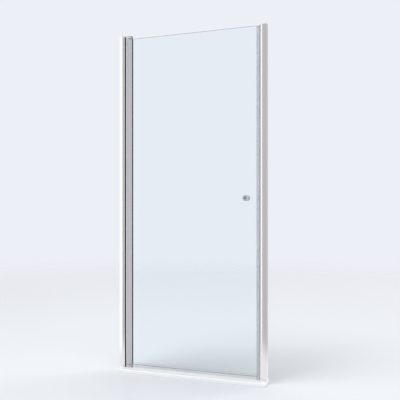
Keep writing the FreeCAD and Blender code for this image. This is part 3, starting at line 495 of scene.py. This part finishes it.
def makeStile():
    clamp, reach, corner = stile["clamp"], stile["reach"], stile["corner"]
    root = math.degrees(math.asin(clamp / stile["barrel"]))
    inset = (reach - corner, clamp - corner)
    outline = arcPoints((0, 0), stile["barrel"], root, 360 - root, stile["barrelSteps"])
    outline += arcPoints((inset[0], -inset[1]), corner, 270, 360, stile["cornerSteps"])
    outline += [(reach, -stile["slotHalf"]), (stile["slotEnd"], -stile["slotHalf"])]
    outline += [(stile["slotEnd"], stile["slotHalf"]), (reach, stile["slotHalf"])]
    outline += arcPoints(inset, corner, 0, 90, stile["cornerSteps"])
    points = [(pivotX + x * mm, y * mm, stileLow.z) for x, y in outline]
    piece = pullBar("pivotStile", points, (0, 0, stileHigh.z - stileLow.z))
    softenEdges(piece, stile["edge"], segments=2)
    turn = math.degrees(math.acos(stile["chamberEnd"] / stile["chamber"]))
    inside = arcPoints((0, 0), stile["chamber"], turn, 360 - turn, stile["chamberSteps"])
    past = stile["chamberPast"] * mm
    points = [(pivotX + x * mm, y * mm, stileLow.z - past) for x, y in inside]
    combine(piece, pullBar("stileChamber", points, (0, 0, stileHigh.z - stileLow.z + 2 * past)))
    rearY = (stile["barrel"] + stile["chamber"]) / 2 * mm
    rises = [stile["plugHoleFirst"] * mm, stile["plugHoleSecond"] * mm]
    heights = [stileLow.z + rise for rise in rises] + [stileHigh.z - rise for rise in rises]
    drillHoles(piece, [(pivotX, rearY, z) for z in heights], stile["plugHole"], stile["drillDepth"], alongY)
    smoothFaces(piece)
    finishPiece(piece, "leaf", ["pivot_stile"], "bright_aluminium", "satin")


makeStile()
print("stile made")


# The glass: rounded free corners, ground edges all round and the hole for the knob
glass = dict(
    corner=6, cornerSteps=10, arris=0.6, arrisAngle=60, flat=0.98, holeRadius=6, holeSteps=48, drillDepth=18,
)


def makeGlass():
    deselectAll()
    centre, size = (glassLow + glassHigh) / 2, glassHigh - glassLow
    bpy.ops.mesh.primitive_cube_add(size=1, location=centre, scale=size)
    piece = bpy.context.object
    piece.name = piece.data.name = "glassPane"
    bpy.ops.object.transform_apply(location=True, rotation=False, scale=True)
    pickEdges(piece, lambda one, two: min(one.x, two.x) > centre.x and abs(one.y - two.y) > size.y / 2)
    bpy.ops.mesh.bevel(offset=glass["corner"] * mm, segments=glass["cornerSteps"])
    bpy.ops.object.mode_set(mode="OBJECT")
    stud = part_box("knob_stud")
    middle = (stud[0] + stud[1]) / 2
    drillHoles(piece, [middle], glass["holeRadius"], glass["drillDepth"], alongY, glass["holeSteps"])
    applyModifier(
        piece, "BEVEL", width=glass["arris"] * mm, segments=2, limit_method="ANGLE",
        angle_limit=math.radians(glass["arrisAngle"]),
    )
    finishPiece(piece, "leaf", ["glass_panel"], "clear_glass", "glass", "edge")
    for face in piece.data.polygons:
        face.material_index = 0 if abs(face.normal.y) > glass["flat"] else 1
        face.use_smooth = False


makeGlass()
print("glass made")


# The magnet seal on the free edge: two thin legs, flared cheeks and a flat nose with a pocket for the magnet.
# The lists are corners: in from the legs' tips, out from the cheeks' foot, and about the head's start
seal = dict(
    grip=12, legOuter=4.3, legInner=3.1, webStart=0.3, cheekStart=1.5, headStart=3.5, nose=9, headHalf=7,
    noseRound=1.2, noseSteps=6, tipRound=0.5, tipSteps=4, legTip=[(1.6, 0), (0.8, 0.05)],
    cheekFoot=[(0, 0), (0.7, 0.5)], cheekTop=[(-0.5, 0.9), (0, 0.25), (0.7, 0)], pocketStart=4.9,
    pocketEnd=8.1, pocketHalf=5.1, pocketLength=1.01,
)


def makeMagnetSeal():
    low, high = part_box("leaf_magnet_seal")
    tip, nose, half, bend = seal["tipRound"], seal["nose"], seal["headHalf"], seal["noseRound"]
    upper = [(seal["webStart"], seal["legInner"])]
    upper += [(-seal["grip"] + x, seal["legInner"] - y) for x, y in seal["legTip"]]
    upper += arcPoints((-seal["grip"] + tip, seal["legOuter"] - tip), tip, 180, 90, seal["tipSteps"])
    upper += [(seal["cheekStart"] + x, seal["legOuter"] + y) for x, y in seal["cheekFoot"]]
    upper += [(seal["headStart"] + x, half - y) for x, y in seal["cheekTop"]]
    upper += arcPoints((nose - bend, half - bend), bend, 90, 0, seal["noseSteps"])
    points = [(glassHigh.x + x * mm, y * mm, low.z) for x, y in mirrored(upper)]
    length = high.z - low.z
    piece = pullBar("leafMagnetSeal", points, (0, 0, length))
    deselectAll()
    pocket = (seal["pocketStart"] + seal["pocketEnd"]) / 2
    pocketWidth = (seal["pocketEnd"] - seal["pocketStart"]) * mm
    bpy.ops.mesh.primitive_cube_add(
        size=1, location=(glassHigh.x + pocket * mm, 0, (low.z + high.z) / 2),
        scale=(pocketWidth, 2 * seal["pocketHalf"] * mm, length * seal["pocketLength"]),
    )
    combine(piece, bpy.context.object)
    smoothFaces(piece, angle=40)
    finishPiece(piece, "leaf", ["leaf_magnet_seal"], "clear_pvc", "pvcUpright")


makeMagnetSeal()
print("magnet seal made")


# The sweep under the glass: two legs, a fin that thins towards the sill and a drip rail on the shower's side.
# The lists are the rail's corners: below and above it from the web's corner, and about its tip
sweep = dict(
    grip=12, legOuter=4.3, legInner=3.1, legTip=0.3, outerLead=0.4, innerLead=0.6, web=1.5, webGap=0.3,
    webRound=0.5, finHalf=0.6, finTip=0.35, finRound=0.15, finRoundHeight=0.3, filletWidth=0.5,
    filletHeight=0.6, railReach=9.3, railDrop=5.5, railUnder=[(-0.3, 0), (1.6, -0.9), (3.4, -2.3)],
    railTip=[(-0.5, 0.3), (-0.15, 0.15), (0, 0.6)], railOver=[(3.6, -1.1), (1.8, 0.2)], railTop=0.2,
)


def makeSweep():
    low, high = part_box("bottom_sweep")
    foot = (low.z - glassLow.z) / mm
    outer, inner, web, grip = sweep["legOuter"], sweep["legInner"], sweep["web"], sweep["grip"]
    legTip, finTip, finHalf, webRound = sweep["legTip"], sweep["finTip"], sweep["finHalf"], sweep["webRound"]
    leg = [(outer, grip - sweep["outerLead"]), (outer - legTip, grip), (inner + legTip, grip)]
    leg += [(inner, grip - sweep["innerLead"]), (inner, -sweep["webGap"])]
    fin = [(finTip - sweep["finRound"], foot), (finTip, foot + sweep["finRoundHeight"])]
    fin += [(finHalf, -web - sweep["filletHeight"]), (finHalf + sweep["filletWidth"], -web)]
    outline = [(-y, z) for y, z in reversed(leg)] + [(-outer, -web + webRound), (-outer + webRound, -web)]
    outline += [(-y, z) for y, z in reversed(fin)] + fin
    outline += [(outer + y, -web + z) for y, z in sweep["railUnder"]]
    outline += [(sweep["railReach"] + y, -sweep["railDrop"] + z) for y, z in sweep["railTip"]]
    outline += [(outer + y, -web + z) for y, z in sweep["railOver"]]
    outline += [(outer, sweep["railTop"])] + leg
    points = [(low.x, y * mm, glassLow.z + z * mm) for y, z in outline]
    piece = pullBar("bottomSweep", points, (high.x - low.x, 0, 0))
    smoothFaces(piece, angle=40)
    finishPiece(piece, "leaf", ["bottom_sweep"], "clear_pvc", "pvcLevel")


makeSweep()
print("sweep made")


# The dark lips beside the stile's barrel, each with a thin flange that covers the post's corner
lip = dict(
    seat=35, outer=12.3, inner=9.5, flangeStart=33.2, flange=0.6, pivotFromWall=50, radius=16.3, steps=6,
    edge=0.2,
)


def makeLip(name, node, way):
    low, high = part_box(node)
    flangeTop = lip["outer"] + lip["flange"]
    startTurn = 180 - math.degrees(math.asin(flangeTop / lip["radius"]))
    endTurn = 180 - math.degrees(math.asin(lip["inner"] / lip["radius"]))
    outline = [(lip["flangeStart"], flangeTop)]
    outline += arcPoints((lip["pivotFromWall"], 0), lip["radius"], startTurn, endTurn, lip["steps"])
    outline += [(lip["seat"], lip["inner"]), (lip["seat"], lip["outer"]), (lip["flangeStart"], lip["outer"])]
    points = [(hingeWall + x * mm, way * y * mm, low.z) for x, y in outline]
    piece = pullBar(name, points, (0, 0, high.z - low.z))
    softenEdges(piece, lip["edge"], segments=2)
    finishPiece(piece, "frame", [node], "dark_rubber", "rubber")


makeLip("hingeFrontLip", "hinge_front_gasket", -1)
makeLip("hingeRearLip", "hinge_rear_gasket", 1)


# The strips that hold the glass in the stile, each with a rounded bead over the stile's edge
bead = dict(reach=28.2, face=27, glassSide=3, slotSide=4.5, over=7.4, slotEnd=10, tip=0.4, edge=0.15)


def makeBead(name, node, way):
    low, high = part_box(node)
    reach, over, face, tip = bead["reach"], bead["over"], bead["face"], bead["tip"]
    outline = [(bead["slotEnd"], bead["glassSide"]), (reach, bead["glassSide"])]
    outline += [(reach, over - tip), (reach - tip, over), (face, over)]
    outline += [(face, bead["slotSide"]), (bead["slotEnd"], bead["slotSide"])]
    points = [(pivotX + x * mm, way * y * mm, low.z) for x, y in outline]
    piece = pullBar(name, points, (0, 0, high.z - low.z))
    softenEdges(piece, bead["edge"], segments=2)
    finishPiece(piece, "leaf", [node], "dark_rubber", "rubber")


makeBead("glazingBeadOuter", "glazing_gasket_outer", -1)
makeBead("glazingBeadInner", "glazing_gasket_inner", 1)
print("lips and beads made")


# The knobs, turned on the lathe: foot, waist, flared back, rounded rim and a dished face
knob = dict(
    washer=1, footRadius=10, footHeight=2, footChamfer=0.4, footChamferHeight=0.6, footRound=0.7, waist=7.5,
    waistHeight=7, fillet=0.5, flare=7, headRadius=16.5, headHeight=8, rim=3, dishRadius=6.5, dishDepth=1.5,
    dishLip=1.1, dishRound=0.5, dishInset=0.3, dishFloor=21, boreRadius=4, boreEnd=14, grubRadius=2,
    grubDepth=12, grubDrop=1, steps=96,
)


def knobProfile():
    foot, neck = knob["washer"], knob["washer"] + knob["footHeight"]
    flareStart = neck + knob["waistHeight"]
    back = flareStart + knob["flare"]
    face = back + knob["headHeight"]
    footRound, fillet, rim, dishRound = knob["footRound"], knob["fillet"], knob["rim"], knob["dishRound"]
    profile = [(0, knob["boreEnd"]), (knob["boreRadius"], knob["boreEnd"]), (knob["boreRadius"], foot)]
    profile += [(knob["footRadius"] - knob["footChamfer"], foot)]
    profile += [(knob["footRadius"], foot + knob["footChamferHeight"])]
    profile += arcPoints((knob["footRadius"] - footRound, neck - footRound), footRound, 0, 90, steps=5)
    profile += arcPoints((knob["waist"] + fillet, neck + fillet), fillet, 270, 180, steps=4)
    profile += arcPoints((knob["waist"] + knob["flare"], flareStart), knob["flare"], 180, 90, steps=14)
    profile += arcPoints((knob["headRadius"] - fillet, back + fillet), fillet, 270, 360, steps=4)
    profile += arcPoints((knob["headRadius"] - rim, face - rim), rim, 0, 90, steps=12)
    profile += [(knob["dishRadius"] + knob["dishLip"], face)]
    profile += arcPoints((knob["dishRadius"] + dishRound, face - dishRound), dishRound, 90, 150, steps=3)
    bowl = (knob["dishRadius"] ** 2 + knob["dishDepth"] ** 2) / (2 * knob["dishDepth"])
    reach = math.degrees(math.asin((knob["dishRadius"] - knob["dishInset"]) / bowl))
    profile += arcPoints((0, face - knob["dishDepth"] + bowl), bowl, 270 + reach, 270, steps=8)
    return profile


def makeKnob(name, node, way):
    low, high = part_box(node)
    middle = (low + high) / 2
    surfaceY = way * glassHigh.y
    points = [(middle.x + r * mm, surfaceY + way * h * mm, middle.z) for r, h in knobProfile()]
    piece = turnPiece(name, points, (middle.x, 0, middle.z), (0, 1, 0), knob["steps"])
    if node == "inner_knob":
        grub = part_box("knob_grub_screw")
        centre = (grub[0] + grub[1]) / 2
        place = (centre.x, centre.y, centre.z - knob["grubDrop"] * mm)
        drillHoles(piece, [place], knob["grubRadius"], knob["grubDepth"], alongZ)
    smoothFaces(piece, angle=40)
    finishPiece(piece, "leaf", [node], "chrome", "chrome", "dishChrome")
    for face in piece.data.polygons:
        aside = math.hypot(face.center.x - middle.x, face.center.z - middle.z)
        out = way * (face.center.y - surfaceY)
        face.material_index = 1 if aside < knob["dishRadius"] * mm and out > knob["dishFloor"] * mm else 0


makeKnob("outerKnob", "outer_knob", -1)
makeKnob("innerKnob", "inner_knob", 1)
print("knobs made")


# The clear washers between knob and glass
washer = dict(radius=10.5, bore=4.2, height=1, edge=0.25, steps=64)


def makeWasher(name, node, way):
    low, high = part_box(node)
    middle = (low + high) / 2
    surfaceY = way * glassHigh.y
    radius, bore, height, edge = washer["radius"], washer["bore"], washer["height"], washer["edge"]
    profile = [(bore, 0), (radius - edge, 0), (radius, edge), (radius, height - edge)]
    profile += [(radius - edge, height), (bore, height), (bore, 0)]
    points = [(middle.x + r * mm, surfaceY + way * h * mm, middle.z) for r, h in profile]
    piece = turnPiece(name, points, (middle.x, 0, middle.z), (0, 1, 0), washer["steps"])
    smoothFaces(piece, angle=50)
    finishPiece(piece, "leaf", [node], "clear_pvc", "pvcUpright")


makeWasher("outerKnobWasher", "outer_knob_washer", -1)
makeWasher("innerKnobWasher", "inner_knob_washer", 1)


# The snap caps over the post screws: domed, with a fine rim at the foot, turned once and then copied
screwCap = dict(
    radius=5.1, inner=4.2, height=4, innerHeight=2.9, rim=0.5, rimStep=0.15, shoulder=2, domeSteps=9,
    steps=40,
)


def makeScrewCaps(name, node):
    low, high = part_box(node)
    radius, height = screwCap["radius"], screwCap["height"]
    rim, step, shoulder = screwCap["rim"], screwCap["rimStep"], screwCap["shoulder"]
    inner, innerHeight = screwCap["inner"], screwCap["innerHeight"]
    profile = [(0, innerHeight), (inner, innerHeight), (inner, 0)]
    profile += [(radius, 0), (radius, rim), (radius - step, rim + step)]
    for r, h in arcPoints((0, 0), 1, 0, 90, screwCap["domeSteps"]):
        profile.append((r * (radius - step), shoulder + h * (height - shoulder)))
    profile[-1] = (0, height)
    x, y, first = (low.x + high.x) / 2, low.y, low.z + radius * mm
    points = [(x + r * mm, y + h * mm, first) for r, h in profile]
    piece = turnPiece(name, points, (x, y, first), (0, 1, 0), screwCap["steps"])
    copies = []
    for z in ((low.z + high.z) / 2, high.z - radius * mm):
        dome = piece.copy()
        dome.data = piece.data.copy()
        dome.location.z += z - first
        bpy.context.scene.collection.objects.link(dome)
        copies.append(dome)
    takeUp(piece)
    for dome in copies:
        dome.select_set(True)
    bpy.ops.object.join()
    smoothFaces(piece, angle=40)
    finishPiece(piece, "frame", [node], "grey_plastic", "abs")


makeScrewCaps("hingeScrewCaps", "hinge_screw_caps")
makeScrewCaps("strikeScrewCaps", "strike_screw_caps")
print("washers and screw caps made")


# The sill: a white bar with a rounder front edge
sill = dict(frontRound=6, rearRound=3, frontSteps=10, rearSteps=6, edge=2)


def makeSill():
    low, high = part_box("sill")
    front, rear = sill["frontRound"] * mm, sill["rearRound"] * mm
    outline = [(low.y, low.z)]
    outline += arcPoints((low.y + front, high.z - front), front, 180, 90, sill["frontSteps"])
    outline += arcPoints((high.y - rear, high.z - rear), rear, 90, 0, sill["rearSteps"])
    outline += [(high.y, low.z)]
    points = [(low.x, y, z) for y, z in outline]
    piece = pullBar("sillBar", points, (high.x - low.x, 0, 0))
    softenEdges(piece, sill["edge"], segments=3, angle=60)
    finishPiece(piece, "frame", ["sill"], "white_gloss", "acrylic")


makeSill()
print("sill made")


# Castings and posts keep their own shape, with their sharp edges taken off
softPieces = dict(
    hingePost=("hinge_post", "frame", "bright_aluminium", "bright", 0.3),
    strikePost=("strike_post", "frame", "bright_aluminium", "bright", 0.35),
    magnetCarrier=("strike_magnet_carrier", "frame", "grey_plastic", "abs", 0.4),
    topBracket=("top_pivot_bracket", "frame", "cast_bright", "satinCasting", 0.3),
    bottomBracket=("bottom_pivot_bracket", "frame", "cast_bright", "satinCasting", 0.3),
    topStilePlug=("top_stile_plug", "leaf", "cast_bright", "satinCasting", 0.3),
    bottomStilePlug=("bottom_stile_plug", "leaf", "cast_bright", "satinCasting", 0.3),
    topPlugScrews=("top_plug_screws", "leaf", "stainless_steel", "steel", 0.15),
    bottomPlugScrews=("bottom_plug_screws", "leaf", "stainless_steel", "steel", 0.15),
)
for name, (node, body, slot, look, edge) in softPieces.items():
    softCopy(name, node, body, slot, look, edge)
print("castings and posts softened")


# The brackets' roots get painted shade, nearly black, where they stand in the groove, so that the groove's
# dark line runs on past the lips
root = dict(bracketHeight=15, headRadius=16.2)


def paintRootShade(name, seat, way):
    piece = bpy.data.objects[name]
    piece.data.materials.append(finishes["grooveShadeCasting"])
    for face in piece.data.polygons:
        middle = face.center
        behindHead = middle.x < pivotX and math.hypot(middle.x - pivotX, middle.y) > root["headRadius"] * mm
        if behindHead and (middle.z - seat) * way > 0:
            # painted shade: root faces behind the round head, within its height, turn nearly black
            face.material_index = 1


paintRootShade("topBracket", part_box("top_pivot_bracket")[1].z - root["bracketHeight"] * mm, 1)
paintRootShade("bottomBracket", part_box("bottom_pivot_bracket")[0].z + root["bracketHeight"] * mm, -1)
print("bracket roots blackened")


# What is hidden or already right keeps its own mesh and gets its finish
plainNodes = dict(
    steel=["top_pivot_pin", "bottom_pivot_pin", "hinge_post_screws", "strike_post_screws",
           "top_bracket_screws", "bottom_bracket_screws", "knob_grub_screw", "knob_stud"],
    acetal=["top_pivot_bush", "bottom_pivot_bush"],
    magnet=["leaf_magnet", "strike_magnet"],
    pvcUpright=["knob_sleeve"],
)
for look, names in plainNodes.items():
    for name in names:
        for materialSlot in frame["nodes"][name].material_slots:
            materialSlot.material = finishes[look]
print("kept nodes finished")


# The camera stands to the right of the door at chest height and looks level
camera = dict(place=(1.0456, -2.943, 0.950), turn=18.61, lens=49.55, shiftY=0.0226)
bpy.ops.object.camera_add(location=camera["place"], rotation=(math.pi / 2, 0, math.radians(camera["turn"])))
view = bpy.context.object
view.name = "studioCamera"
view.data.lens = camera["lens"]
view.data.shift_y = camera["shiftY"]
bpy.context.scene.camera = view


# A pale floor that fades into the pale surroundings
studio = dict(
    floor="#dee1e6", surroundings="#edeff6", floorRadius=9, fadeStart=1.6, fadeEnd=8, floorRough=0.3,
    floorSpecular=0.1, lightLevel=0.92, glowStart=0.6, glowEnd=1.15, floorGlow=1.0, frontGrey=0.6,
    greyZone=0.54, greyFrom=-1, greyTo=-0.6, boxCount=3, frontBoxes=1.45, backBoxes=0.65,
    farSide=(0.35, 1, 0), dimFrom=-0.5, dimTo=0.4, zoneEdge=-0.22, zoneSoft=0.08,
)


def makeFloor():
    deselectAll()
    bpy.ops.mesh.primitive_circle_add(
        vertices=96, radius=studio["floorRadius"], fill_type="NGON", location=(0, 0, 0),
    )
    floor = bpy.context.object
    floor.name = "studioFloor"
    material, tree, surface, output = newMaterial("studioFloor")
    surface.inputs["Base Color"].default_value = hexColor(studio["floor"])
    surface.inputs["Roughness"].default_value = studio["floorRough"]
    surface.inputs["Specular IOR Level"].default_value = studio["floorSpecular"]
    place = addNode(tree, "ShaderNodeTexCoord")
    reach = addNode(tree, "ShaderNodeVectorMath", {"operation": "LENGTH"}, i0=place.outputs["Object"])
    fade = addNode(
        tree, "ShaderNodeMapRange", {"interpolation_type": "SMOOTHSTEP"}, Value=reach.outputs["Value"],
        From_Min=studio["fadeStart"], From_Max=studio["fadeEnd"],
    )
    clear = addNode(tree, "ShaderNodeBsdfTransparent").outputs[0]
    seen = addNode(tree, "ShaderNodeMixShader", Fac=fade.outputs["Result"], i1=surface.outputs[0], i2=clear)
    # Metal sees the pale floor only close to the door, for lighter feet, and the soft boxes beyond it
    near = addNode(
        tree, "ShaderNodeMapRange", {"interpolation_type": "SMOOTHSTEP"}, Value=reach.outputs["Value"],
        From_Min=studio["glowStart"], From_Max=studio["glowEnd"],
    )
    glow = addNode(tree, "ShaderNodeEmission", Strength=studio["floorGlow"])
    inMetal = addNode(tree, "ShaderNodeMixShader", Fac=near.outputs["Result"], i1=glow.outputs[0], i2=clear)
    rays = addNode(tree, "ShaderNodeLightPath").outputs
    fromMetal = addNode(
        tree, "ShaderNodeMath", {"operation": "SUBTRACT", "use_clamp": True}, i0=rays["Is Glossy Ray"],
        i1=rays["Is Transmission Ray"],
    )
    both = addNode(
        tree, "ShaderNodeMixShader", Fac=fromMetal.outputs[0], i1=seen.outputs[0], i2=inMetal.outputs[0],
    )
    tree.links.new(both.outputs[0], output.inputs["Surface"])
    floor.data.materials.append(material)


# The surroundings: plain and pale to the eye, an even light for what is matte, and for metal a ring of soft
# boxes with grey between them, brighter in front than behind
def makeSurroundings():
    world = bpy.data.worlds.new("studio")
    bpy.context.scene.world = world
    world.use_nodes = True
    tree = world.node_tree
    tree.nodes.clear()
    rays = addNode(tree, "ShaderNodeLightPath").outputs
    direction = addNode(tree, "ShaderNodeTexCoord").outputs["Generated"]
    parts = addNode(tree, "ShaderNodeSeparateXYZ", Vector=direction).outputs
    turn = addNode(tree, "ShaderNodeMath", {"operation": "ARCTAN2"}, i0=parts["X"], i1=parts["Y"])
    turns = addNode(
        tree, "ShaderNodeMath", {"operation": "MULTIPLY"}, i0=turn.outputs[0], i1=studio["boxCount"],
    )
    wave = addNode(tree, "ShaderNodeMath", {"operation": "COSINE"}, i0=turns.outputs[0])
    away = addNode(
        tree, "ShaderNodeVectorMath", {"operation": "DOT_PRODUCT"}, i0=direction, i1=studio["farSide"],
    )
    boxLevel = addNode(
        tree, "ShaderNodeMapRange", Value=away.outputs["Value"], From_Min=studio["dimFrom"],
        From_Max=studio["dimTo"], To_Min=studio["frontBoxes"], To_Max=studio["backBoxes"],
    )
    greyLevel = addNode(
        tree, "ShaderNodeMapRange", Value=away.outputs["Value"], From_Min=studio["greyFrom"],
        From_Max=studio["greyTo"], To_Min=studio["frontGrey"], To_Max=studio["greyZone"],
    )
    zone = addNode(
        tree, "ShaderNodeMapRange", {"interpolation_type": "SMOOTHSTEP"}, Value=wave.outputs[0],
        From_Min=studio["zoneEdge"] - studio["zoneSoft"], From_Max=studio["zoneEdge"] + studio["zoneSoft"],
        To_Min=greyLevel.outputs["Result"], To_Max=boxLevel.outputs["Result"],
    )
    white = (1, 1, 1, 1)
    pale = addNode(tree, "ShaderNodeBackground", Color=hexColor(studio["surroundings"]), Strength=1.0)
    even = addNode(tree, "ShaderNodeBackground", Color=white, Strength=studio["lightLevel"])
    boxes = addNode(tree, "ShaderNodeBackground", Color=white, Strength=zone.outputs["Result"])
    light = addNode(
        tree, "ShaderNodeMixShader", Fac=rays["Is Glossy Ray"], i1=even.outputs[0], i2=boxes.outputs[0],
    )
    seen = addNode(
        tree, "ShaderNodeMath", {"operation": "MAXIMUM"}, i0=rays["Is Camera Ray"],
        i1=rays["Is Transmission Ray"],
    )
    both = addNode(tree, "ShaderNodeMixShader", Fac=seen.outputs[0], i1=light.outputs[0], i2=pale.outputs[0])
    addNode(tree, "ShaderNodeOutputWorld", Surface=both.outputs[0])


# Soft lamps: one large and high in front on the left for form and shadow, one weak from behind on the right
lamps = dict(
    key=dict(place=(-2.2, -2.9, 8.6), aim=(0, 0, 0.9), size=3.5, power=280),
    rim=dict(place=(4.5, 4.5, 5), aim=(0, 0, 0.9), size=2.5, power=70),
)


def makeLamps():
    for name, lamp in lamps.items():
        bpy.ops.object.light_add(type="AREA", location=lamp["place"])
        light = bpy.context.object
        light.name = name + "Lamp"
        light.data.size = lamp["size"]
        light.data.energy = lamp["power"]
        light.visible_glossy = light.visible_transmission = False
        beam = Vector(lamp["aim"]) - Vector(lamp["place"])
        light.rotation_euler = beam.to_track_quat("-Z", "Y").to_euler()


makeFloor()
makeSurroundings()
makeLamps()
bpy.context.scene.view_settings.view_transform = "Standard"
print("camera, floor and light set")
